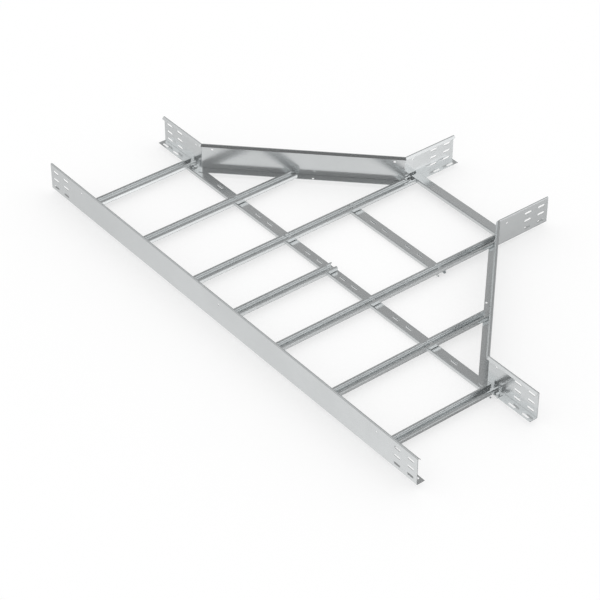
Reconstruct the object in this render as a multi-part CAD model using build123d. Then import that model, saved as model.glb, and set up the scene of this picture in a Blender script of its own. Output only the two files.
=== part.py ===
from build123d import *
import math
import os

# A horizontal tee for a cable ladder. +X runs along the main run, +Y towards the branch, +Z up.
# The origin is under the middle of the outline, level with the lowest edges of the runners.
# All sizes are in millimetres.

# Layout
LADDER_WIDTH = 400.0
ARM_LENGTH = 600.0
END_RUNG_OFFSET = 150.0

# Side rails
RAIL_HEIGHT = 85.0
SHEET = 1.5
TOP_LIP = 10.0
TOP_LIP_SLOPE = 50.0
FOLD_RADIUS = 1.5
BEND_RADIUS = 2.0

# Lipped channel that the rungs and runners are cut from
MEMBER_WIDTH = 30.0
MEMBER_HEIGHT = 13.0
MEMBER_LIP = 6.0
MEMBER_SHEET = 1.5
MEMBER_FOLD_RADIUS = 1.0
MEMBER_END_MARGIN = 10.0

# Fasteners
BOLT_DIAMETER = 6.0
BOLT_LENGTH = 12.0
HEAD_WIDTH = 10.0
HEAD_HEIGHT = 4.0
NUT_HEIGHT = 5.0
PACKER_WIDTH = 16.0
CHANNEL_NUT_WIDTH = 14.0
CHANNEL_NUT_HEIGHT = 4.0

# Clearances
HOLE_CLEARANCE = 1.0
THREAD_CLEARANCE = 0.1
RUNG_WEB_CLEARANCE = 1.0
ANGLED_END_CLEARANCE = 1.1
RUNG_END_GAP = 1.5
CHANNEL_NUT_CLEARANCE = 1.0
HOLE_EDGE_MARGIN = 2.0

# Splice slots, and the round holes on the line of the top row
SLOT_LENGTH = 25.0
FIRST_COLUMN = 25.0
COLUMN_PITCH = 50.0
BOTTOM_ROW_HEIGHT = 15.0
TOP_ROW_DROP = 20.0
ROUND_HOLE_PAST_RUNG = 5.0
ANGLED_HOLE_OFFSET = 30.0
INNER_RUNNER_SLOTS = (50.0, 100.0)
RUNNER_SLOT_PAST_RUNG = 90.0

# Clips beside the outer rungs
CLIP_LENGTH = 16.5
CLIP_WIDTH = 17.0
CLIP_HEIGHT = 10.0
CLIP_BOLT_OFFSET = 8.0
CLIP_STUB_MARGIN = 1.5

# Worked out from the sizes above
HOLE_DIAMETER = BOLT_DIAMETER + HOLE_CLEARANCE
FLANGE_HOLE_INSET = SHEET + RUNG_WEB_CLEARANCE + MEMBER_WIDTH / 2
ANGLED_HOLE_INSET = (MEMBER_WIDTH / 2 + MEMBER_END_MARGIN) / math.sqrt(2) + SHEET + ANGLED_END_CLEARANCE
BOTTOM_FLANGE = ANGLED_HOLE_INSET + HOLE_DIAMETER / 2 + HOLE_EDGE_MARGIN
STUB_LENGTH = END_RUNG_OFFSET + MEMBER_WIDTH / 2 + CLIP_LENGTH + CLIP_STUB_MARGIN
RAIL_BASE = MEMBER_HEIGHT
FLANGE_TOP = RAIL_BASE + SHEET
RUNG_FLOOR_TOP = FLANGE_TOP + MEMBER_SHEET
RUNNER_UNDERSIDE = RAIL_BASE - MEMBER_SHEET
LIP_TOP = FLANGE_TOP + MEMBER_SHEET

# Main lines of the plan
MAIN_HALF = LADDER_WIDTH / 2 + ARM_LENGTH
BRANCH_HALF = LADDER_WIDTH / 2
DEPTH = LADDER_WIDTH + ARM_LENGTH
NEAR_Y = -DEPTH / 2
FAR_Y = NEAR_Y + LADDER_WIDTH
BRANCH_Y = DEPTH / 2
NEAR_BOLT_Y = NEAR_Y + FLANGE_HOLE_INSET
RUNNER_Y = FAR_Y - FLANGE_HOLE_INSET
BRANCH_RUNG_Y = BRANCH_Y - END_RUNG_OFFSET
SHORT_RUNNER_Y = (RUNNER_Y + BRANCH_RUNG_Y) / 2
LONG_RUNG_BOLT_Y = BRANCH_RUNG_Y - MEMBER_WIDTH / 2 - RUNG_END_GAP - MEMBER_END_MARGIN
OUTER_RUNG_X = MAIN_HALF - END_RUNG_OFFSET
LONG_RUNG_X = BRANCH_HALF - FLANGE_HOLE_INSET
ANGLED_RUNG_X = (OUTER_RUNG_X + LONG_RUNG_X) / 2
RUNNER_SLOTS = INNER_RUNNER_SLOTS + (
    LONG_RUNG_X + RUNNER_SLOT_PAST_RUNG,
    ANGLED_RUNG_X - RUNNER_SLOT_PAST_RUNG,
    ANGLED_RUNG_X + RUNNER_SLOT_PAST_RUNG,
)

# The left corner rail's outer face, from the branch end round to the main run's end.
CORNER_PATH = (
    (-BRANCH_HALF, BRANCH_Y),
    (-BRANCH_HALF, BRANCH_Y - STUB_LENGTH),
    (-MAIN_HALF + STUB_LENGTH, FAR_Y),
    (-MAIN_HALF, FAR_Y),
)
STRAIGHT_PATH = ((-MAIN_HALF, NEAR_Y), (MAIN_HALF, NEAR_Y))


def angled_web_y(x):
    """Y of the left angled web's outer face at x."""
    return FAR_Y + x + MAIN_HALF - STUB_LENGTH


ANGLED_BOLT_Y = angled_web_y(-ANGLED_RUNG_X) - ANGLED_HOLE_INSET * math.sqrt(2)
SPARE_HOLE_X = SHORT_RUNNER_Y - angled_web_y(0) + ANGLED_HOLE_INSET * math.sqrt(2)


def legs(path):
    """Start point, direction, left normal and length of each straight leg of a path."""
    found = []
    for (ax, ay), (bx, by) in zip(path, path[1:]):
        length = math.hypot(bx - ax, by - ay)
        along = Vector((bx - ax) / length, (by - ay) / length)
        found.append((Vector(ax, ay), along, Vector(-along.Y, along.X), length))
    return found


def moved_left(path, distance):
    """The path moved to its left by a distance, with mitred corners."""
    normals = [normal for _, _, normal, _ in legs(path)]
    before = [normals[0]] + normals
    after = normals + [normals[-1]]
    moved = []
    for (x, y), n1, n2 in zip(path, before, after):
        shift = (n1 + n2) * (distance / (1 + n1.dot(n2)))
        moved.append((x + shift.X, y + shift.Y))
    return moved


def sheet_section(path, thickness, near_radius):
    """Flat section of folded sheet: the path and its copy to the left, with concentric folds."""
    far_side = moved_left(path, thickness)
    face = make_face(Polyline(*path, *reversed(far_side), close=True))
    for corners, radius in ((path, near_radius), (far_side, near_radius - thickness)):
        for x, y in corners[1:-1]:
            face = fillet(face.vertices().sort_by_distance((x, y))[:1], radius)
    return face


def rail_section():
    """Section of a rail: x inward from its outer face, y up from its underside."""
    slope = math.radians(TOP_LIP_SLOPE)
    radius = FOLD_RADIUS + SHEET
    corner = RAIL_HEIGHT - radius + radius * (1 + math.sin(slope)) / math.cos(slope)
    lip_tip = (TOP_LIP, corner - TOP_LIP * math.tan(slope))
    outer_line = (lip_tip, (0, corner), (0, 0), (BOTTOM_FLANGE, 0))
    return sheet_section(outer_line, SHEET, radius)


def folded_rail(path):
    """One folded sheet along a path: web, bottom flange and sloping top lip to its left."""
    start, along, normal, _ = legs(path)[0]
    spine = FilletPolyline(*path, radius=BEND_RADIUS) if len(path) > 2 else Polyline(*path)
    return sweep(Plane(origin=start, x_dir=normal, z_dir=along) * rail_section(), path=spine)


def through(shape):
    """A flat shape made into a cutter that passes through a sheet at its plane."""
    return extrude(shape, 3 * SHEET, both=True)


def web_plane(leg):
    """Plane on a leg's outer face: x along the leg from its start, y up from the rail's underside."""
    start, along, normal, _ = leg
    return Plane(origin=start, x_dir=along, z_dir=-normal)


def flange_plane(leg):
    """Plane on a leg's underside: x along the leg from its start, y inward from its outer face."""
    start, along, _, _ = leg
    return Plane(origin=start, x_dir=along, z_dir=(0, 0, 1))


def slot_rows():
    """Heights of the three rows of splice slots above the rail's underside."""
    top = RAIL_HEIGHT - TOP_ROW_DROP
    return (BOTTOM_ROW_HEIGHT, (BOTTOM_ROW_HEIGHT + top) / 2, top)


def splice_cutters(leg, ends):
    """Slots for the splice plates at the free ends of a leg, and one in the flange per column."""
    length = leg[3]
    slot = SlotOverall(SLOT_LENGTH, HOLE_DIAMETER)
    cutters = []
    for end in ends:
        for column in (FIRST_COLUMN, FIRST_COLUMN + COLUMN_PITCH):
            x = column if end == "start" else length - column
            for height in slot_rows():
                cutters.append(through(web_plane(leg) * Pos(x, height) * slot))
            cutters.append(through(flange_plane(leg) * Pos(x, FLANGE_HOLE_INSET) * slot))
    return cutters


def round_cutters(leg, distances):
    """Round holes in a leg's web, on the line of the top row of slots."""
    hole = Circle(HOLE_DIAMETER / 2)
    return [through(web_plane(leg) * Pos(x, slot_rows()[-1]) * hole) for x in distances]


def flange_holes(points):
    """Round bolt holes through the bottom flange, at places in the plan."""
    hole = Circle(HOLE_DIAMETER / 2)
    return [through(Pos(x, y) * hole) for x, y in points]


def raised(rail, cutters):
    """A rail with its holes, lifted to where its flange carries the rungs."""
    for cutter in cutters:
        rail -= cutter
    return Pos(0, 0, RAIL_BASE) * rail


def rung_axes():
    """X of the seven rungs, from left to right."""
    right = (LONG_RUNG_X, ANGLED_RUNG_X, OUTER_RUNG_X)
    return tuple(-x for x in reversed(right)) + (0.0,) + right


def straight_rail():
    """The long rail opposite the branch."""
    leg = legs(STRAIGHT_PATH)[0]
    hole_offset = END_RUNG_OFFSET + ROUND_HOLE_PAST_RUNG
    cutters = splice_cutters(leg, ("start", "end"))
    cutters += round_cutters(leg, (hole_offset, MAIN_HALF, 2 * MAIN_HALF - hole_offset))
    cutters += flange_holes([(x, NEAR_BOLT_Y) for x in rung_axes()])
    return raised(folded_rail(STRAIGHT_PATH), cutters)


def corner_rail(clip_x):
    """The left corner rail, with the bolt hole for a clip at clip_x."""
    branch_leg, angled_leg, main_leg = legs(CORNER_PATH)
    hole_offset = END_RUNG_OFFSET + ROUND_HOLE_PAST_RUNG
    cutters = splice_cutters(branch_leg, ("start",)) + splice_cutters(main_leg, ("end",))
    cutters += round_cutters(branch_leg, (hole_offset,))
    cutters += round_cutters(main_leg, (STUB_LENGTH - hole_offset,))
    cutters += round_cutters(angled_leg, (ANGLED_HOLE_OFFSET, angled_leg[3] - ANGLED_HOLE_OFFSET))
    cutters += flange_holes([
        (-OUTER_RUNG_X, RUNNER_Y),
        (clip_x, RUNNER_Y),
        (-ANGLED_RUNG_X, ANGLED_BOLT_Y),
        (SPARE_HOLE_X, SHORT_RUNNER_Y),
        (-LONG_RUNG_X, LONG_RUNG_BOLT_Y),
        (-LONG_RUNG_X, BRANCH_RUNG_Y),
    ])
    return raised(folded_rail(CORNER_PATH), cutters)


def channel(start, end, holes=(), slots=()):
    """Lipped channel along X, open side up, underside at z = 0, with holes and slots in its floor."""
    middle = Pos(0, MEMBER_HEIGHT / 2)
    outside = RectangleRounded(MEMBER_WIDTH, MEMBER_HEIGHT, MEMBER_FOLD_RADIUS + MEMBER_SHEET)
    inside = RectangleRounded(
        MEMBER_WIDTH - 2 * MEMBER_SHEET, MEMBER_HEIGHT - 2 * MEMBER_SHEET, MEMBER_FOLD_RADIUS
    )
    mouth = Rectangle(MEMBER_WIDTH - 2 * MEMBER_LIP, MEMBER_HEIGHT)
    section = middle * outside - middle * inside - Pos(0, MEMBER_HEIGHT) * mouth
    body = Pos(start, 0, 0) * extrude(Plane.YZ * section, end - start)
    for x in holes:
        body -= Pos(x, 0, 0) * Cylinder(HOLE_DIAMETER / 2, 3 * MEMBER_SHEET)
    for x in slots:
        body -= through(Pos(x, 0) * SlotOverall(SLOT_LENGTH, HOLE_DIAMETER))
    return body


def rung(x, bolts):
    """A rung on the flanges at x, one end margin past its first and last bolts, open side up."""
    body = channel(bolts[0] - MEMBER_END_MARGIN, bolts[-1] + MEMBER_END_MARGIN, holes=bolts)
    return Pos(x, 0, FLANGE_TOP) * Rot(0, 0, 90) * body


def runner(y, reach, bolts, slots):
    """A runner under the rungs at y, from -reach to reach, closed side up."""
    body = channel(-reach, reach, holes=bolts, slots=slots)
    return Pos(0, y, RAIL_BASE) * Rot(180, 0, 0) * body


def branch_rung():
    """The rung across the branch's mouth, closed side up, its lips on the flanges."""
    reach = LONG_RUNG_X + MEMBER_END_MARGIN
    return Pos(0, BRANCH_RUNG_Y, FLANGE_TOP + MEMBER_HEIGHT) * Rot(180, 0, 0) * channel(-reach, reach)


def rung_bolt_places(x):
    """Y of each bolt along the rung at x."""
    if abs(abs(x) - ANGLED_RUNG_X) < MEMBER_SHEET:
        return (NEAR_BOLT_Y, RUNNER_Y, ANGLED_BOLT_Y)
    if abs(abs(x) - LONG_RUNG_X) < MEMBER_SHEET:
        return (NEAR_BOLT_Y, RUNNER_Y, SHORT_RUNNER_Y, LONG_RUNG_BOLT_Y)
    return (NEAR_BOLT_Y, RUNNER_Y)


def clip_places():
    """X of the outer rungs' sides that the two clips stand against."""
    return (-OUTER_RUNG_X + MEMBER_WIDTH / 2, OUTER_RUNG_X + MEMBER_WIDTH / 2)


def clip(side_x):
    """Angle clip: a foot on the flange and an upstand against the rung's side."""
    foot = Pos(CLIP_LENGTH / 2, 0, SHEET / 2) * Box(CLIP_LENGTH, CLIP_WIDTH, SHEET)
    upstand = Pos(SHEET / 2, 0, CLIP_HEIGHT / 2) * Box(SHEET, CLIP_WIDTH, CLIP_HEIGHT)
    bracket = foot + upstand
    bracket -= Pos(CLIP_BOLT_OFFSET, 0, 0) * Cylinder(HOLE_DIAMETER / 2, 3 * SHEET)
    return Pos(side_x, RUNNER_Y, FLANGE_TOP) * bracket


def hexagon(height):
    """Upright hexagonal prism on z = 0."""
    return extrude(RegularPolygon(HEAD_WIDTH / 2, 6, major_radius=False), height)


def bolt():
    """Hexagon bolt, head above z = 0 and shank below it."""
    return hexagon(HEAD_HEIGHT) + Pos(0, 0, -BOLT_LENGTH / 2) * Cylinder(BOLT_DIAMETER / 2, BOLT_LENGTH)


def nut():
    """Hexagon nut, hanging below z = 0."""
    bore = Cylinder((BOLT_DIAMETER + THREAD_CLEARANCE) / 2, 3 * NUT_HEIGHT)
    return Pos(0, 0, -NUT_HEIGHT) * (hexagon(NUT_HEIGHT) - bore)


def channel_nut():
    """Plate nut that spans a channel's mouth from inside, on z = 0."""
    length = MEMBER_WIDTH - 2 * MEMBER_SHEET - 2 * CHANNEL_NUT_CLEARANCE
    plate = Pos(0, 0, CHANNEL_NUT_HEIGHT / 2) * Box(CHANNEL_NUT_WIDTH, length, CHANNEL_NUT_HEIGHT)
    return plate - Cylinder((BOLT_DIAMETER + THREAD_CLEARANCE) / 2, 3 * CHANNEL_NUT_HEIGHT)


def packer():
    """Square plate on z = 0, as thick as the flange, with a bolt hole."""
    plate = Pos(0, 0, SHEET / 2) * Box(PACKER_WIDTH, PACKER_WIDTH, SHEET)
    return plate - Cylinder(HOLE_DIAMETER / 2, 3 * SHEET)


def rung_stacks():
    """Each bolt that goes down through a rung: x, y and the underside of the lowest sheet it holds."""
    stacks = []
    for x in rung_axes():
        for y in rung_bolt_places(x):
            on_runner = y in (RUNNER_Y, SHORT_RUNNER_Y)
            stacks.append((x, y, RUNNER_UNDERSIDE if on_runner else RAIL_BASE))
    return stacks


def clip_stacks():
    """The same for the clips' bolts: the runner reaches under the left clip only."""
    left, right = (side_x + CLIP_BOLT_OFFSET for side_x in clip_places())
    return [(left, RUNNER_Y, RUNNER_UNDERSIDE), (right, RUNNER_Y, RAIL_BASE)]


def branch_bolt_places():
    """Places of the two bolts that come up into the branch rung's channel nuts."""
    return ((-LONG_RUNG_X, BRANCH_RUNG_Y), (LONG_RUNG_X, BRANCH_RUNG_Y))


def packer_places():
    """Crossings where a rung passes over a runner with no flange between them."""
    places = [(x, RUNNER_Y) for x in rung_axes()[1:-1]]
    return places + [(-LONG_RUNG_X, SHORT_RUNNER_Y), (LONG_RUNG_X, SHORT_RUNNER_Y)]


def bolts_down(stacks, seat):
    """A bolt for each stack, its head on the seat."""
    return [Pos(x, y, seat) * bolt() for x, y, _ in stacks]


def bolts_up(places):
    """A bolt at each place, its head under the flange."""
    return [Pos(x, y, RAIL_BASE) * Rot(180, 0, 0) * bolt() for x, y in places]


def nuts_under(stacks):
    """A nut against the underside of each stack."""
    return [Pos(x, y, low) * nut() for x, y, low in stacks]


def build():
    """Every node of the tee by its name."""
    left_clip_x, right_clip_x = (side_x + CLIP_BOLT_OFFSET for side_x in clip_places())
    outer_reach = OUTER_RUNG_X + MEMBER_END_MARGIN
    short_reach = LONG_RUNG_X + MEMBER_END_MARGIN
    slots = [side * x for x in RUNNER_SLOTS for side in (-1, 1)]
    short_slots = [x for x in slots if abs(x) + SLOT_LENGTH < LONG_RUNG_X]
    nodes = {
        "straight_rail": straight_rail(),
        "left_corner_rail": corner_rail(left_clip_x),
        "right_corner_rail": mirror(corner_rail(-right_clip_x), Plane.YZ),
        "branch_rung": branch_rung(),
        "long_runner": runner(RUNNER_Y, outer_reach, rung_axes() + (left_clip_x,), slots),
        "short_runner": runner(SHORT_RUNNER_Y, short_reach, (-LONG_RUNG_X, LONG_RUNG_X), short_slots),
        "left_clip": clip(clip_places()[0]),
        "right_clip": clip(clip_places()[1]),
        "rung_bolts": Compound(bolts_down(rung_stacks(), RUNG_FLOOR_TOP)),
        "clip_bolts": Compound(bolts_down(clip_stacks(), FLANGE_TOP + SHEET)),
        "branch_bolts": Compound(bolts_up(branch_bolt_places())),
        "nuts": Compound(nuts_under(rung_stacks() + clip_stacks())),
        "packers": Compound([Pos(x, y, RAIL_BASE) * packer() for x, y in packer_places()]),
        "channel_nuts": Compound([Pos(x, y, LIP_TOP) * channel_nut() for x, y in branch_bolt_places()]),
    }
    for number, x in enumerate(rung_axes(), start=1):
        nodes[f"rung_{number}"] = rung(x, rung_bolt_places(x))
    return nodes


os.makedirs("parts", exist_ok=True)
for name, shape in build().items():
    export_step(shape, f"parts/{name}.step")
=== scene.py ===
"""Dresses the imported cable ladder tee: zinc-coated sheet, plated fasteners and a white studio."""

import logging
import math
from dataclasses import dataclass
from enum import Enum
from typing import Sequence

import bmesh
import bpy
from mathutils import Matrix, Vector


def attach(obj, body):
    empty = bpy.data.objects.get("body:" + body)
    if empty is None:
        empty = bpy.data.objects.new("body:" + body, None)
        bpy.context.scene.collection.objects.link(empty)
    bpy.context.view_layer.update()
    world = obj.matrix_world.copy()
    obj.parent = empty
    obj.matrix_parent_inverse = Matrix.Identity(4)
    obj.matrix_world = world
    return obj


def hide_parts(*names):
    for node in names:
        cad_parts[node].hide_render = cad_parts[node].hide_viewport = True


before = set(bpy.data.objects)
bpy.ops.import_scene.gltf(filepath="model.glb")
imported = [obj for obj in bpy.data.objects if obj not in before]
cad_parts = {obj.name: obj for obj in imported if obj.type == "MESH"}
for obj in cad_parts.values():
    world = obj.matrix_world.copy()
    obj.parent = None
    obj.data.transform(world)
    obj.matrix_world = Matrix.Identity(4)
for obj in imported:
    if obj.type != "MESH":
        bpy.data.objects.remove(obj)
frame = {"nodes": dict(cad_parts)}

log = logging.getLogger("ladder_tee")
BODY = "root"
MM = 0.001
WHITE = (1.0, 1.0, 1.0, 1.0)
# No surface has a slope of 2, so with it the mask of the painted fold shade leaves no slope out.
NO_SLOPE = 2.0
Colour = tuple[float, float, float]
Socket = bpy.types.NodeSocket
Value = Socket | float


class Roll(Enum):
    """Which way the rolling marks run: how often they repeat along x, y and z."""

    ALONG_X = (6.0, 260.0, 260.0)
    ALONG_Y = (260.0, 6.0, 260.0)
    ROUND_CORNER = (60.0, 60.0, 260.0)
    NONE = (80.0, 80.0, 80.0)


class Nodes:
    """Short ways to add and join nodes in one node tree."""

    def __init__(self, tree: bpy.types.NodeTree) -> None:
        """Keeps the tree to build in."""
        self.tree = tree

    def add(self, kind: str, **settings: object) -> bpy.types.Node:
        """Adds a node and sets its properties and inputs.

        Args:
            kind: The node's Blender type.
            **settings: Properties by name, and default values of inputs under "inputs".

        Returns:
            The new node.
        """
        inputs = settings.pop("inputs", {})
        node = self.tree.nodes.new(kind)
        for name, value in settings.items():
            setattr(node, name, value)
        for key, value in inputs.items():
            node.inputs[key].default_value = value
        return node

    def link(self, source: Socket, target: Socket) -> None:
        """Joins an output to an input."""
        self.tree.links.new(source, target)

    def feed(self, value: Value, target: Socket) -> None:
        """Joins a socket to an input, or sets the input to a number.

        Args:
            value: The socket or the number.
            target: The input.
        """
        if isinstance(value, Socket):
            self.link(value, target)
        else:
            target.default_value = value

    def math(self, operation: str, first: Value, second: Value | None = None) -> Socket:
        """Adds a Math node.

        Args:
            operation: The node's operation.
            first: A socket or a number.
            second: A socket or a number, where the operation has two.

        Returns:
            The node's output.
        """
        node = self.add("ShaderNodeMath", operation=operation)
        self.feed(first, node.inputs[0])
        if second is not None:
            self.feed(second, node.inputs[1])
        return node.outputs[0]

    def blend(self, share: Value, first: Value, second: Value, kind: str = "FLOAT") -> Socket:
        """Mixes two values, or two colours.

        Args:
            share: 0 for the first and 1 for the second.
            first: The first value or colour.
            second: The second value or colour.
            kind: The Mix node's type of data.

        Returns:
            The mixture.
        """
        node = self.add("ShaderNodeMix", data_type=kind)
        for name, value in (("Factor", share), ("A", first), ("B", second)):
            self.feed(value, node.inputs[name])
        return node.outputs["Result"]

    def placed(self, shape: Socket, height: Value, turn: float = 0.0) -> Socket:
        """Moves a shape up or down and turns it about the upright axis.

        Args:
            shape: The shape.
            height: How far up it goes, a socket or a number.
            turn: The angle in radians.

        Returns:
            The moved shape.
        """
        shift = self.add("ShaderNodeCombineXYZ")
        self.feed(height, shift.inputs["Z"])
        moved = self.add("GeometryNodeTransform", inputs={"Rotation": (0.0, 0.0, turn)})
        self.link(shape, moved.inputs["Geometry"])
        self.link(shift.outputs["Vector"], moved.inputs["Translation"])
        return moved.outputs["Geometry"]


@dataclass(frozen=True)
class Ramp:
    """A level that changes evenly between two places and stays the same outside them."""

    start: float
    end: float
    start_level: float = 0.0
    end_level: float = 1.0

    def over(self, nodes: Nodes, place: Socket) -> Socket:
        """Builds the ramp over a coordinate.

        Args:
            nodes: The tree's nodes.
            place: The coordinate.

        Returns:
            The level.
        """
        node = nodes.add("ShaderNodeMapRange", inputs={
            "From Min": self.start,
            "From Max": self.end,
            "To Min": self.start_level,
            "To Max": self.end_level,
        })
        nodes.link(place, node.inputs["Value"])
        return node.outputs["Result"]


@dataclass(frozen=True)
class Grain:
    """A noise pattern. Its scale counts the features over a metre."""

    scale: float
    detail: float
    roughness: float

    def over(self, nodes: Nodes, place: Socket) -> Socket:
        """Builds the noise over a position.

        Args:
            nodes: The tree's nodes.
            place: The position.

        Returns:
            The noise, from 0 to 1.
        """
        noise = nodes.add("ShaderNodeTexNoise", inputs={
            "Scale": self.scale,
            "Detail": self.detail,
            "Roughness": self.roughness,
        })
        nodes.link(place, noise.inputs["Vector"])
        return noise.outputs["Fac"]


def new_group(name: str, inputs: Sequence[tuple[str, str, object]],
              outputs: Sequence[tuple[str, str]],
              kind: str = "ShaderNodeTree") -> tuple[bpy.types.NodeTree, Nodes]:
    """Starts a node group with named sockets.

    Args:
        name: The group's name.
        inputs: Name, socket type and default value of each input, or None where it has no default.
        outputs: Name and socket type of each output.
        kind: Blender's type of node tree.

    Returns:
        The group and a helper for its nodes.
    """
    tree = bpy.data.node_groups.new(name, kind)
    for label, socket_kind, value in inputs:
        socket = tree.interface.new_socket(name=label, in_out="INPUT", socket_type=socket_kind)
        if value is not None:
            socket.default_value = value
    for label, socket_kind in outputs:
        tree.interface.new_socket(name=label, in_out="OUTPUT", socket_type=socket_kind)
    return tree, Nodes(tree)


def empty_nodes(owner: bpy.types.Material | bpy.types.World) -> Nodes:
    """Clears the node tree of a new material or world.

    Args:
        owner: The material or the world.

    Returns:
        A helper for its nodes.
    """
    owner.use_nodes = True
    owner.node_tree.nodes.clear()
    return Nodes(owner.node_tree)


def coat(piece: bpy.types.Object, material: bpy.types.Material) -> None:
    """Puts a finish on a piece that keeps its shape from the frame.

    Args:
        piece: The piece.
        material: The finish.
    """
    piece.data.materials.clear()
    piece.data.materials.append(material)
    log.info("dressed %s with %s", piece.name, material.name)


@dataclass(frozen=True)
class ZincSurface:
    """The shared effect of a zinc coating: crystals, rolling marks, cloudy dulling and specks."""

    crystal_scale: float = 150.0
    marks: Grain = Grain(3.0, 3.0, 0.6)
    clouds: Grain = Grain(5.0, 4.0, 0.55)
    specks: Grain = Grain(420.0, 2.0, 0.5)
    mark_dulling: Ramp = Ramp(0.3, 0.7, 0.0, 0.25)
    cloud_dulling: Ramp = Ramp(0.35, 0.65, 0.0, 0.55)
    speck_height: float = 0.4

    def group(self) -> bpy.types.NodeTree:
        """Builds the effect as a node group.

        Returns:
            A group that turns a position into a tint, a roughness and a height.
        """
        tree, nodes = new_group(
            "zinc_surface",
            [
                ("Vector", "NodeSocketVector", None),
                ("Rolling", "NodeSocketVector", None),
                ("Light", "NodeSocketColor", None),
                ("Dull", "NodeSocketColor", None),
                ("Crystal", "NodeSocketFloat", None),
                ("Smooth", "NodeSocketFloat", None),
                ("Rough", "NodeSocketFloat", None),
            ],
            [
                ("Tint", "NodeSocketColor"),
                ("Roughness", "NodeSocketFloat"),
                ("Height", "NodeSocketFloat"),
            ],
        )
        given, result = nodes.add("NodeGroupInput"), nodes.add("NodeGroupOutput")
        place = given.outputs["Vector"]

        crystals = nodes.add("ShaderNodeTexVoronoi", inputs={"Scale": self.crystal_scale})
        nodes.link(place, crystals.inputs["Vector"])
        facet = nodes.add("ShaderNodeSeparateColor")
        nodes.link(crystals.outputs["Color"], facet.inputs["Color"])
        crystal = nodes.math("MULTIPLY", facet.outputs["Red"], given.outputs["Crystal"])

        stretched = nodes.add("ShaderNodeVectorMath", operation="MULTIPLY")
        nodes.link(place, stretched.inputs[0])
        nodes.link(given.outputs["Rolling"], stretched.inputs[1])
        marks = self.marks.over(nodes, stretched.outputs["Vector"])
        mark = self.mark_dulling.over(nodes, marks)

        cloud = self.cloud_dulling.over(nodes, self.clouds.over(nodes, place))
        dulling = nodes.math("ADD", nodes.math("ADD", cloud, crystal), mark)
        dulling = nodes.math("MINIMUM", dulling, 1.0)
        tint = nodes.blend(dulling, given.outputs["Light"], given.outputs["Dull"], kind="RGBA")
        nodes.link(tint, result.inputs["Tint"])
        gloss = nodes.blend(dulling, given.outputs["Smooth"], given.outputs["Rough"])
        nodes.link(gloss, result.inputs["Roughness"])

        specks = nodes.math("MULTIPLY", self.specks.over(nodes, place), self.speck_height)
        nodes.link(nodes.math("ADD", specks, marks), result.inputs["Height"])
        return tree


@dataclass(frozen=True)
class PaintedFoldShade:
    """Painted shade on folds that face up: a darker tint that dims their highlight.

    Each ramp runs over the upward part of the surface's direction and leaves out one thing: upright
    sheet, level sheet, the flat of a sloping lip, and folds that face down, which keep the plain
    tint and their highlight.
    """

    off_upright: Ramp = Ramp(0.08, 0.30)
    off_level: Ramp = Ramp(0.95, 0.995, 1.0, 0.0)
    off_lip: Ramp = Ramp(0.01, 0.05)
    facing_up: Ramp = Ramp(-0.05, 0.05)

    def group(self) -> bpy.types.NodeTree:
        """Builds the effect as a node group.

        Returns:
            A group that turns a surface direction into the mask of the painted fold shade.
        """
        tree, nodes = new_group(
            "painted_fold_shade",
            [("Normal", "NodeSocketVector", None), ("Flat Slope", "NodeSocketFloat", None)],
            [("Fold", "NodeSocketFloat")],
        )
        given, result = nodes.add("NodeGroupInput"), nodes.add("NodeGroupOutput")
        split = nodes.add("ShaderNodeSeparateXYZ")
        nodes.link(given.outputs["Normal"], split.inputs["Vector"])
        upward = split.outputs["Z"]
        slope = nodes.math("ABSOLUTE", upward)
        from_lip = nodes.math("SUBTRACT", slope, given.outputs["Flat Slope"])
        fold = self.facing_up.over(nodes, upward)
        for ramp, place in (
            (self.off_upright, slope),
            (self.off_level, slope),
            (self.off_lip, nodes.math("ABSOLUTE", from_lip)),
        ):
            fold = nodes.math("MULTIPLY", fold, ramp.over(nodes, place))
        nodes.link(fold, result.inputs["Fold"])
        return tree


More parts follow.
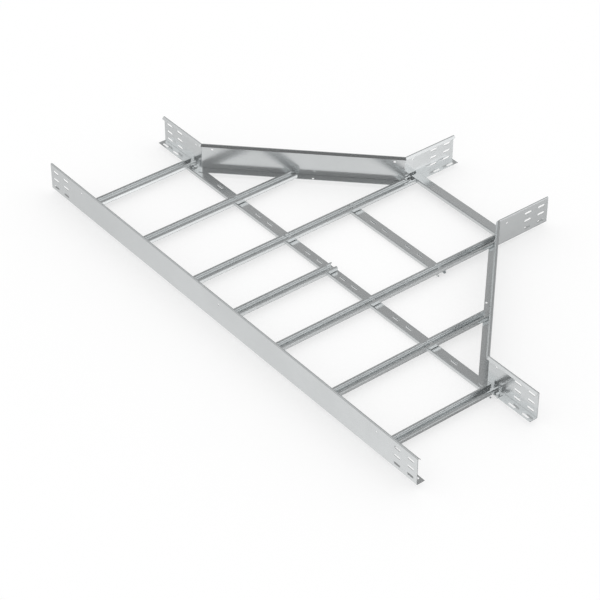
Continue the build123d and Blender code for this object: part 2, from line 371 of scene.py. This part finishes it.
@dataclass(frozen=True)
class ZincFinish:
    """A zinc-coated steel surface, with painted shade on its folds that face up. The values that it
    starts with are those of the sheet.
    """

    name: str
    roll: Roll
    # Painted shade: the darker tint that folds facing up take, in place of their highlight.
    shaded_fold_tint: Colour
    flat_slope: float = NO_SLOPE
    light: Colour = (0.80, 0.82, 0.825)
    dull: Colour = (0.72, 0.74, 0.745)
    crystal: float = 0.12
    smooth: float = 0.16
    rough: float = 0.24
    bump_strength: float = 0.5
    bump_depth: float = 0.008 * MM
    metal: float = 0.86

    def material(self, surface: bpy.types.NodeTree,
                 folds: bpy.types.NodeTree) -> bpy.types.Material:
        """Builds the finish.

        Args:
            surface: The shared group of a zinc coating.
            folds: The shared group that paints shade on folds that face up.

        Returns:
            The material.
        """
        made = bpy.data.materials.new(self.name)
        nodes = empty_nodes(made)
        place = nodes.add("ShaderNodeTexCoord")
        zinc = nodes.add("ShaderNodeGroup", node_tree=surface, inputs={
            "Rolling": self.roll.value,
            "Light": (*self.light, 1.0),
            "Dull": (*self.dull, 1.0),
            "Crystal": self.crystal,
            "Smooth": self.smooth,
            "Rough": self.rough,
        })
        nodes.link(place.outputs["Object"], zinc.inputs["Vector"])
        shape = nodes.add("ShaderNodeNewGeometry")
        bend = nodes.add("ShaderNodeGroup", node_tree=folds, inputs={"Flat Slope": self.flat_slope})
        nodes.link(shape.outputs["True Normal"], bend.inputs["Normal"])
        # Painted shade: folds that face up take the darker fold tint.
        tint = nodes.blend(
            bend.outputs["Fold"], zinc.outputs["Tint"], (*self.shaded_fold_tint, 1.0), kind="RGBA"
        )
        bump = nodes.add("ShaderNodeBump", inputs={
            "Strength": self.bump_strength,
            "Distance": self.bump_depth,
        })
        nodes.link(zinc.outputs["Height"], bump.inputs["Height"])
        shader = nodes.add("ShaderNodeBsdfPrincipled", inputs={"Metallic": self.metal})
        nodes.link(tint, shader.inputs["Base Color"])
        nodes.link(zinc.outputs["Roughness"], shader.inputs["Roughness"])
        nodes.link(bump.outputs["Normal"], shader.inputs["Normal"])
        out = nodes.add("ShaderNodeOutputMaterial")
        nodes.link(shader.outputs["BSDF"], out.inputs["Surface"])
        return made


@dataclass
class Members:
    """The sheet pieces that keep their shape from the frame and get their finish here."""

    nodes: dict[str, bpy.types.Object]
    rails: tuple[str, ...] = ("straight_rail",)
    corners: tuple[str, ...] = ("left_corner_rail", "right_corner_rail")
    across: tuple[str, ...] = tuple(f"rung_{number}" for number in range(1, 8))
    lengthwise: tuple[str, ...] = ("branch_rung", "long_runner", "short_runner")
    clips: tuple[str, ...] = ("left_clip", "right_clip")
    # Painted shade: the darker tints that folds facing up take on the rails and on the channels, in
    # place of their highlight.
    rail_shaded_fold: Colour = (0.58, 0.60, 0.605)
    channel_shaded_fold: Colour = (0.42, 0.44, 0.445)
    lip_slope: float = math.cos(math.radians(50.0))

    def dress(self, names: Sequence[str], material: bpy.types.Material) -> None:
        """Gives some pieces their finish.

        Args:
            names: The pieces' nodes.
            material: The finish.
        """
        for name in names:
            coat(self.nodes[name], material)

    def dress_all(self, surface: bpy.types.NodeTree, folds: bpy.types.NodeTree) -> None:
        """Gives each kind of piece its own finish.

        Args:
            surface: The shared group of a zinc coating.
            folds: The shared group that paints shade on folds that face up.
        """
        rail = {"shaded_fold_tint": self.rail_shaded_fold, "flat_slope": self.lip_slope}
        channel = {"shaded_fold_tint": self.channel_shaded_fold}
        for names, finish in (
            (self.rails, ZincFinish("rail_zinc", Roll.ALONG_X, **rail)),
            (self.corners, ZincFinish("corner_zinc", Roll.ROUND_CORNER, **rail)),
            (self.across, ZincFinish("rung_zinc", Roll.ALONG_Y, **channel)),
            (self.lengthwise + self.clips, ZincFinish("runner_zinc", Roll.ALONG_X, **channel)),
        ):
            self.dress(names, finish.material(surface, folds))


class Fastener(Enum):
    """The two kinds of small hardware that are modelled here."""

    BOLT = "bolt"
    NUT = "nut"


@dataclass
class Hardware:
    """Chamfered hexagon bolts with rolled threads, and their nuts, in place of plain ones.

    The chamfer's share is how much of the width across the flats its cone leaves flat, and the
    margin's share is how far the cutting shapes reach past the hexagon's height.
    """

    nodes: dict[str, bpy.types.Object]
    bolts: tuple[str, ...] = ("rung_bolts", "clip_bolts")
    bolts_from_below: tuple[str, ...] = ("branch_bolts",)
    nuts: tuple[str, ...] = ("nuts",)
    plates: tuple[str, ...] = ("packers", "channel_nuts")
    width: float = 10.0 * MM
    head_height: float = 4.0 * MM
    nut_height: float = 5.0 * MM
    shank: float = 6.0 * MM
    shank_length: float = 12.0 * MM
    shank_in_head: float = 0.5
    pitch: float = 1.0 * MM
    thread_depth: float = 0.5 * MM
    bore_ease: float = 1.01
    bore_reach: float = 3.0
    chamfer_share: float = 0.95
    chamfer_slope: float = math.radians(30.0)
    margin_share: float = 0.25
    flats: int = 6
    round_steps: int = 24
    cone_steps: int = 48
    steps_per_turn: int = 4
    bolt_seed: int = 1
    bolt_from_below_seed: int = 11
    nut_seed: int = 21
    weld: float = 0.001 * MM
    sort_digits: int = 4
    # Its fold tint is painted shade on chamfers and folds that face up, a little darker than the
    # plate.
    finish: ZincFinish = ZincFinish(
        "bright_plate", Roll.NONE, shaded_fold_tint=(0.80, 0.82, 0.825), light=(0.84, 0.86, 0.865),
        dull=(0.76, 0.78, 0.79), crystal=0.1, rough=0.26, bump_depth=0.01 * MM,
    )

    def islands(self, name: str) -> list[tuple[Vector, Vector]]:
        """Finds each separate solid of a node.

        Args:
            name: The node.

        Returns:
            The lowest and highest corner of each solid, from left to right.
        """
        shape = bmesh.new()
        shape.from_mesh(self.nodes[name].data)
        bmesh.ops.remove_doubles(shape, verts=shape.verts, dist=self.weld)
        boxes, seen = [], set()
        for first in shape.verts:
            if first in seen:
                continue
            seen.add(first)
            found, waiting = [], [first]
            while waiting:
                vertex = waiting.pop()
                found.append(vertex.co.copy())
                for edge in vertex.link_edges:
                    other = edge.other_vert(vertex)
                    if other not in seen:
                        seen.add(other)
                        waiting.append(other)
            low = Vector(min(point[axis] for point in found) for axis in range(3))
            high = Vector(max(point[axis] for point in found) for axis in range(3))
            boxes.append((low, high))
        shape.free()
        return sorted(boxes, key=lambda box: [round(value, self.sort_digits) for value in box[0]])

    def seats(self, name: str, kind: Fastener,
              from_below: bool) -> list[tuple[float, float, float]]:
        """Finds where each fastener of a node bears on the sheet.

        Args:
            name: The node.
            kind: Bolts or nuts.
            from_below: Whether the bolts come up from underneath.

        Returns:
            The middle of each bearing face.
        """
        places = []
        for low, high in self.islands(name):
            height = high.z
            if kind is Fastener.BOLT:
                height = low.z + self.head_height if from_below else high.z - self.head_height
            places.append(((low.x + high.x) / 2, (low.y + high.y) / 2, height))
        return places

    def hexagon(self, nodes: Nodes, width: Socket, height: Socket, both_ends: bool) -> Socket:
        """Makes a hexagonal prism on z = 0 whose corners are turned off by a cone.

        Args:
            nodes: The tree's nodes.
            width: Size across the flats.
            height: Height of the prism.
            both_ends: Whether the lower end is turned off too.

        Returns:
            The prism.
        """
        margin = nodes.math("MULTIPLY", height, self.margin_share)
        tall = nodes.math("ADD", height, margin)
        prism = nodes.add("GeometryNodeMeshCylinder", inputs={"Vertices": self.flats})
        width_to_radius = 2.0 * math.cos(math.pi / self.flats)
        nodes.link(nodes.math("DIVIDE", width, width_to_radius), prism.inputs["Radius"])
        nodes.link(nodes.math("ADD", tall, margin) if both_ends else tall, prism.inputs["Depth"])
        middle = nodes.math("MULTIPLY", height if both_ends else tall, 0.5)
        shapes = [nodes.placed(prism.outputs["Mesh"], middle, turn=math.pi / self.flats)]
        face = nodes.math("MULTIPLY", width, self.chamfer_share / 2)
        rise = nodes.math("DIVIDE", tall, math.tan(self.chamfer_slope))
        foot = nodes.math("ADD", face, rise)
        for lower in ((False, True) if both_ends else (False,)):
            cone = nodes.add("GeometryNodeMeshCone", inputs={"Vertices": self.cone_steps})
            nodes.link(foot if lower else face, cone.inputs["Radius Top"])
            nodes.link(face if lower else foot, cone.inputs["Radius Bottom"])
            nodes.link(tall, cone.inputs["Depth"])
            shift = 0.0 if lower else nodes.math("MULTIPLY", margin, -1.0)
            shapes.append(nodes.placed(cone.outputs["Mesh"], shift))
        cut = nodes.add("GeometryNodeMeshBoolean", operation="INTERSECT", solver="EXACT")
        for shape in shapes:
            nodes.link(shape, cut.inputs["Mesh 2"])
        return cut.outputs["Mesh"]

    def threaded_shank(self, nodes: Nodes, given: bpy.types.Node) -> Socket:
        """Makes a round bar, from inside the head down, with a helical groove rolled into it.

        Args:
            nodes: The tree's nodes.
            given: The tree's inputs.

        Returns:
            The shank.
        """
        pitch = given.outputs["Pitch"]
        radius = nodes.math("MULTIPLY", given.outputs["Shank"], 0.5)
        root = nodes.math("MULTIPLY", given.outputs["Height"], self.shank_in_head)
        length = nodes.math("ADD", given.outputs["Shank Length"], root)
        turns = nodes.math("DIVIDE", length, pitch)
        rings = nodes.math("MULTIPLY", turns, float(self.steps_per_turn))
        bar = nodes.add("GeometryNodeMeshCylinder", inputs={"Vertices": self.round_steps})
        nodes.link(rings, bar.inputs["Side Segments"])
        nodes.link(radius, bar.inputs["Radius"])
        nodes.link(length, bar.inputs["Depth"])

        place = nodes.add("GeometryNodeInputPosition")
        split = nodes.add("ShaderNodeSeparateXYZ")
        nodes.link(place.outputs["Position"], split.inputs["Vector"])
        x, y, z = split.outputs
        # The groove's depth goes down and up once over each turn, from 0 to 1 and back.
        about = nodes.math("DIVIDE", nodes.math("ARCTAN2", y, x), math.tau)
        phase = nodes.math("ADD", nodes.math("DIVIDE", z, pitch), about)
        wave = nodes.math("MULTIPLY", nodes.math("PINGPONG", phase, 0.5), 2.0)
        depth = nodes.math("MULTIPLY", wave, given.outputs["Thread Depth"])
        share = nodes.math("SUBTRACT", 1.0, nodes.math("DIVIDE", depth, radius))
        narrowed = nodes.add("ShaderNodeCombineXYZ")
        nodes.link(nodes.math("MULTIPLY", x, share), narrowed.inputs["X"])
        nodes.link(nodes.math("MULTIPLY", y, share), narrowed.inputs["Y"])
        nodes.link(z, narrowed.inputs["Z"])
        rolled = nodes.add("GeometryNodeSetPosition")
        nodes.link(bar.outputs["Mesh"], rolled.inputs["Geometry"])
        nodes.link(narrowed.outputs["Vector"], rolled.inputs["Position"])
        ends = nodes.math("SUBTRACT", root, given.outputs["Shank Length"])
        return nodes.placed(rolled.outputs["Geometry"], nodes.math("MULTIPLY", ends, 0.5))

    def bolt(self, nodes: Nodes, given: bpy.types.Node) -> Socket:
        """Makes a head that stands on z = 0 and a shank that hangs below it.

        Args:
            nodes: The tree's nodes.
            given: The tree's inputs.

        Returns:
            The bolt.
        """
        joined = nodes.add("GeometryNodeJoinGeometry")
        head = self.hexagon(nodes, given.outputs["Width"], given.outputs["Height"], both_ends=False)
        nodes.link(head, joined.inputs["Geometry"])
        nodes.link(self.threaded_shank(nodes, given), joined.inputs["Geometry"])
        return joined.outputs["Geometry"]

    def nut(self, nodes: Nodes, given: bpy.types.Node) -> Socket:
        """Makes a nut that hangs below z = 0, with a bore that clears the shank.

        Args:
            nodes: The tree's nodes.
            given: The tree's inputs.

        Returns:
            The nut.
        """
        height = given.outputs["Height"]
        radius = nodes.math("MULTIPLY", given.outputs["Shank"], self.bore_ease / 2)
        bore = nodes.add("GeometryNodeMeshCylinder", inputs={"Vertices": self.round_steps})
        nodes.link(radius, bore.inputs["Radius"])
        nodes.link(nodes.math("MULTIPLY", height, self.bore_reach), bore.inputs["Depth"])
        blank = self.hexagon(nodes, given.outputs["Width"], height, both_ends=True)
        drilled = nodes.add("GeometryNodeMeshBoolean", operation="DIFFERENCE", solver="EXACT")
        nodes.link(blank, drilled.inputs["Mesh 1"])
        nodes.link(bore.outputs["Mesh"], drilled.inputs["Mesh 2"])
        return nodes.placed(drilled.outputs["Mesh"], nodes.math("MULTIPLY", height, -1.0))

    def tree(self, kind: Fastener) -> bpy.types.NodeTree:
        """Builds the tree that sets a fastener on each point of a mesh.

        Args:
            kind: Bolts or nuts.

        Returns:
            The tree, with its sizes as named inputs. Those that start empty are set for each node.
        """
        tree, nodes = new_group(
            f"hexagon_{kind.value}s",
            [
                ("Geometry", "NodeSocketGeometry", None),
                ("Width", "NodeSocketFloat", self.width),
                ("Height", "NodeSocketFloat", None),
                ("Shank", "NodeSocketFloat", self.shank),
                ("Shank Length", "NodeSocketFloat", self.shank_length),
                ("Pitch", "NodeSocketFloat", self.pitch),
                ("Thread Depth", "NodeSocketFloat", self.thread_depth),
                ("Turn Over", "NodeSocketFloat", None),
                ("Seed", "NodeSocketInt", None),
                ("Finish", "NodeSocketMaterial", None),
            ],
            [("Geometry", "NodeSocketGeometry")],
            kind="GeometryNodeTree",
        )
        given, result = nodes.add("NodeGroupInput"), nodes.add("NodeGroupOutput")
        shape = self.bolt(nodes, given) if kind is Fastener.BOLT else self.nut(nodes, given)
        turn = nodes.add(
            "FunctionNodeRandomValue", data_type="FLOAT", inputs={"Min": 0.0, "Max": math.tau}
        )
        nodes.link(given.outputs["Seed"], turn.inputs["Seed"])
        angles = nodes.add("ShaderNodeCombineXYZ")
        nodes.link(given.outputs["Turn Over"], angles.inputs["X"])
        nodes.link(turn.outputs["Value"], angles.inputs["Z"])
        spread = nodes.add("GeometryNodeInstanceOnPoints")
        nodes.link(given.outputs["Geometry"], spread.inputs["Points"])
        nodes.link(shape, spread.inputs["Instance"])
        nodes.link(angles.outputs["Vector"], spread.inputs["Rotation"])
        real = nodes.add("GeometryNodeRealizeInstances")
        nodes.link(spread.outputs["Instances"], real.inputs["Geometry"])
        coated = nodes.add("GeometryNodeSetMaterial")
        nodes.link(real.outputs["Geometry"], coated.inputs["Geometry"])
        nodes.link(given.outputs["Finish"], coated.inputs["Material"])
        nodes.link(coated.outputs["Geometry"], result.inputs["Geometry"])
        return tree

    def place(self, name: str, kind: Fastener, material: bpy.types.Material,
              from_below: bool, seed: int) -> None:
        """Sets the detailed fasteners of one node in place of its plain ones.

        Args:
            name: The node.
            kind: Bolts or nuts.
            material: Their finish.
            from_below: Whether the bolts come up from underneath.
            seed: Seed of the angles to which they were tightened.
        """
        points = bpy.data.meshes.new(f"{name}_seats")
        points.from_pydata(self.seats(name, kind, from_below), [], [])
        carrier = bpy.data.objects.new(f"{name}_seats", points)
        bpy.context.scene.collection.objects.link(carrier)
        tree = self.tree(kind)
        modifier = carrier.modifiers.new("fasteners", "NODES")
        modifier.node_group = tree
        values = {
            "Height": self.head_height if kind is Fastener.BOLT else self.nut_height,
            "Turn Over": math.pi if from_below else 0.0,
            "Seed": seed,
            "Finish": material,
        }
        for socket in tree.interface.items_tree:
            if socket.name in values:
                modifier[socket.identifier] = values[socket.name]
        bpy.context.view_layer.update()
        evaluated = carrier.evaluated_get(bpy.context.evaluated_depsgraph_get())
        mesh = bpy.data.meshes.new_from_object(evaluated)
        carrier.modifiers.remove(modifier)
        bpy.data.objects.remove(carrier)
        piece = bpy.data.objects.new(f"hexagon_{name}", mesh)
        bpy.context.scene.collection.objects.link(piece)
        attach(piece, BODY)
        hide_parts(name)
        log.info("made %s: %d faces", piece.name, len(mesh.polygons))

    def build(self, surface: bpy.types.NodeTree, folds: bpy.types.NodeTree) -> None:
        """Makes every bolt and nut, and finishes the plates that keep their shape.

        Args:
            surface: The shared group of a zinc coating.
            folds: The shared group that paints shade on folds that face up.
        """
        material = self.finish.material(surface, folds)
        for names, kind, from_below, first_seed in (
            (self.bolts, Fastener.BOLT, False, self.bolt_seed),
            (self.bolts_from_below, Fastener.BOLT, True, self.bolt_from_below_seed),
            (self.nuts, Fastener.NUT, False, self.nut_seed),
        ):
            for seed, name in enumerate(names, start=first_seed):
                self.place(name, kind, material, from_below, seed)
        for name in self.plates:
            coat(self.nodes[name], material)


@dataclass(frozen=True)
class Surround:
    """How bright the studio is to metal, by the quarter that a reflection leaves towards.

    Quarters are named by the sides of the tee: far is +X and deep is +Y. The ramps run over the
    upward part of the ray's direction, apart from two: high_near_deep runs over its +Y part less
    its upward part, and low_far_deep over its elevation less a share of its azimuth, in degrees.
    The limit and the foot of low_far_deep are the most and the least that this card shows. The
    quarters run into each other over twice the edge, and over twice the horizon.
    """

    high_far_deep: float = 1.05
    high_far_front: Ramp = Ramp(0.60, 0.68, 0.15, 0.05)
    high_near_deep: Ramp = Ramp(-0.11, -0.06, 0.24, 0.39)
    high_near_front: Ramp = Ramp(0.30, 0.45, 0.43, 0.96)
    low_far_deep: Ramp = Ramp(-61.5, -57.0, 0.12, 1.24)
    low_far_deep_turn: float = 0.55
    low_far_deep_limit: Ramp = Ramp(-0.52, -0.40, 1.24, 0.96)
    low_far_deep_foot: Ramp = Ramp(-0.86, -0.76, 0.90, 0.12)
    low_far_front: float = 0.76
    low_near_deep: float = 0.51
    low_near_front: Ramp = Ramp(-0.66, -0.57, 0.84, 0.66)
    edge: float = 0.08
    horizon: float = 0.06

    def card(self, nodes: Nodes, x: Socket, y: Socket, z: Socket) -> Socket:
        """Builds the slanted card of the lower far and deep quarter.

        Args:
            nodes: The world's nodes.
            x: The ray's part along +X.
            y: The ray's part along +Y.
            z: The ray's upward part.

        Returns:
            The card's brightness.
        """
        azimuth = nodes.math("DEGREES", nodes.math("ARCTAN2", y, x))
        elevation = nodes.math("DEGREES", nodes.math("ARCSINE", z))
        slant = nodes.math("MULTIPLY", azimuth, self.low_far_deep_turn)
        graded = self.low_far_deep.over(nodes, nodes.math("SUBTRACT", elevation, slant))
        limited = nodes.math("MINIMUM", graded, self.low_far_deep_limit.over(nodes, z))
        return nodes.math("MAXIMUM", limited, self.low_far_deep_foot.over(nodes, z))

    def level(self, nodes: Nodes) -> Socket:
        """Builds the brightness from the direction that a world ray takes.

        Args:
            nodes: The world's nodes.

        Returns:
            The brightness.
        """
        place = nodes.add("ShaderNodeTexCoord")
        split = nodes.add("ShaderNodeSeparateXYZ")
        nodes.link(place.outputs["Generated"], split.inputs["Vector"])
        x, y, z = split.outputs
        side, sill = Ramp(-self.edge, self.edge), Ramp(-self.horizon, self.horizon)
        far, deep, up = side.over(nodes, x), side.over(nodes, y), sill.over(nodes, z)
        near_deep = self.high_near_deep.over(nodes, nodes.math("SUBTRACT", y, z))
        high = nodes.blend(
            far,
            nodes.blend(deep, self.high_near_front.over(nodes, z), near_deep),
            nodes.blend(deep, self.high_far_front.over(nodes, z), self.high_far_deep),
        )
        low = nodes.blend(
            far,
            nodes.blend(deep, self.low_near_front.over(nodes, z), self.low_near_deep),
            nodes.blend(deep, self.low_far_front, self.card(nodes, x, y, z)),
        )
        return nodes.blend(up, low, high)


@dataclass
class Studio:
    """A pale floor, a white sky and the camera at the photograph's angle.

    The camera's angles are in radians. It looks at the target from the straight rail's side.
    """

    azimuth: float = 0.899515
    elevation: float = 0.660674
    roll: float = 0.001996
    distance: float = 5.874059
    target: tuple[float, float, float] = (0.054256, -0.269482, 0.0153)
    focal_pixels: float = 2188.659
    frame_pixels: float = 600.0
    sensor_mm: float = 36.0
    camera_reach: float = 50.0
    floor_size: float = 12.0
    floor_drop: float = 0.5 * MM
    floor_paint: float = 0.8
    floor_seen: float = 0.45
    surround: Surround = Surround()

    def camera(self) -> None:
        """Places the camera."""
        back = Vector((
            math.sin(self.azimuth) * math.cos(self.elevation),
            -math.cos(self.azimuth) * math.cos(self.elevation),
            math.sin(self.elevation),
        ))
        level = Vector((0.0, 0.0, 1.0)).cross(back).normalized()
        upright = back.cross(level)
        right = math.cos(self.roll) * level + math.sin(self.roll) * upright
        up = back.cross(right)
        turn = Matrix((right, up, back)).transposed().to_4x4()
        data = bpy.data.cameras.new("camera")
        data.sensor_width = self.sensor_mm
        data.sensor_fit = "HORIZONTAL"
        data.lens = self.focal_pixels / self.frame_pixels * self.sensor_mm
        data.clip_end = self.camera_reach
        camera = bpy.data.objects.new("camera", data)
        camera.matrix_world = Matrix.Translation(Vector(self.target) + self.distance * back) @ turn
        bpy.context.scene.collection.objects.link(camera)
        bpy.context.scene.camera = camera

    def sky(self) -> None:
        """Makes a sky that is plain white to all but metal, which mirrors the surround."""
        world = bpy.data.worlds.new("studio")
        nodes = empty_nodes(world)
        path = nodes.add("ShaderNodeLightPath")
        strength = nodes.blend(path.outputs["Is Glossy Ray"], 1.0, self.surround.level(nodes))
        background = nodes.add("ShaderNodeBackground", inputs={"Color": WHITE})
        nodes.link(strength, background.inputs["Strength"])
        out = nodes.add("ShaderNodeOutputWorld")
        nodes.link(background.outputs["Background"], out.inputs["Surface"])
        bpy.context.scene.world = world

    def floor_finish(self) -> bpy.types.Material:
        """Makes a paint that looks white to the camera and still takes the tee's shadow.

        Returns:
            The material.
        """
        made = bpy.data.materials.new("studio_floor")
        nodes = empty_nodes(made)
        seen = nodes.add("ShaderNodeLightPath").outputs["Is Camera Ray"]
        paint = nodes.add("ShaderNodeBsdfDiffuse")
        nodes.link(nodes.blend(seen, self.floor_paint, self.floor_seen), paint.inputs["Color"])
        glow = nodes.add("ShaderNodeEmission", inputs={"Color": WHITE})
        nodes.link(nodes.math("MULTIPLY", seen, 1.0 - self.floor_seen), glow.inputs["Strength"])
        both = nodes.add("ShaderNodeAddShader")
        nodes.link(paint.outputs["BSDF"], both.inputs[0])
        nodes.link(glow.outputs["Emission"], both.inputs[1])
        out = nodes.add("ShaderNodeOutputMaterial")
        nodes.link(both.outputs["Shader"], out.inputs["Surface"])
        return made

    def floor(self) -> None:
        """Lays a pale floor just under the tee. Metal doesn't mirror it."""
        half = self.floor_size / 2
        corners = [
            (x, y, -self.floor_drop)
            for x, y in ((-half, -half), (half, -half), (half, half), (-half, half))
        ]
        mesh = bpy.data.meshes.new("floor")
        mesh.from_pydata(corners, [], [(0, 1, 2, 3)])
        mesh.materials.append(self.floor_finish())
        floor = bpy.data.objects.new("floor", mesh)
        floor.visible_glossy = False
        bpy.context.scene.collection.objects.link(floor)

    def build(self) -> None:
        """Sets up the camera, the sky and the floor."""
        self.camera()
        self.sky()
        self.floor()
        bpy.context.scene.view_settings.view_transform = "Standard"
        log.info("studio is set")


def main() -> None:
    """Builds the finishes and the studio, and reports each piece."""
    logging.basicConfig(level=logging.INFO, format="%(name)s: %(message)s")
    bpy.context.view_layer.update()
    # The second group paints shade on folds that face up.
    surface, folds = ZincSurface().group(), PaintedFoldShade().group()
    Members(frame["nodes"]).dress_all(surface, folds)
    Hardware(frame["nodes"]).build(surface, folds)
    Studio().build()


if __name__ == "__main__":
    main()
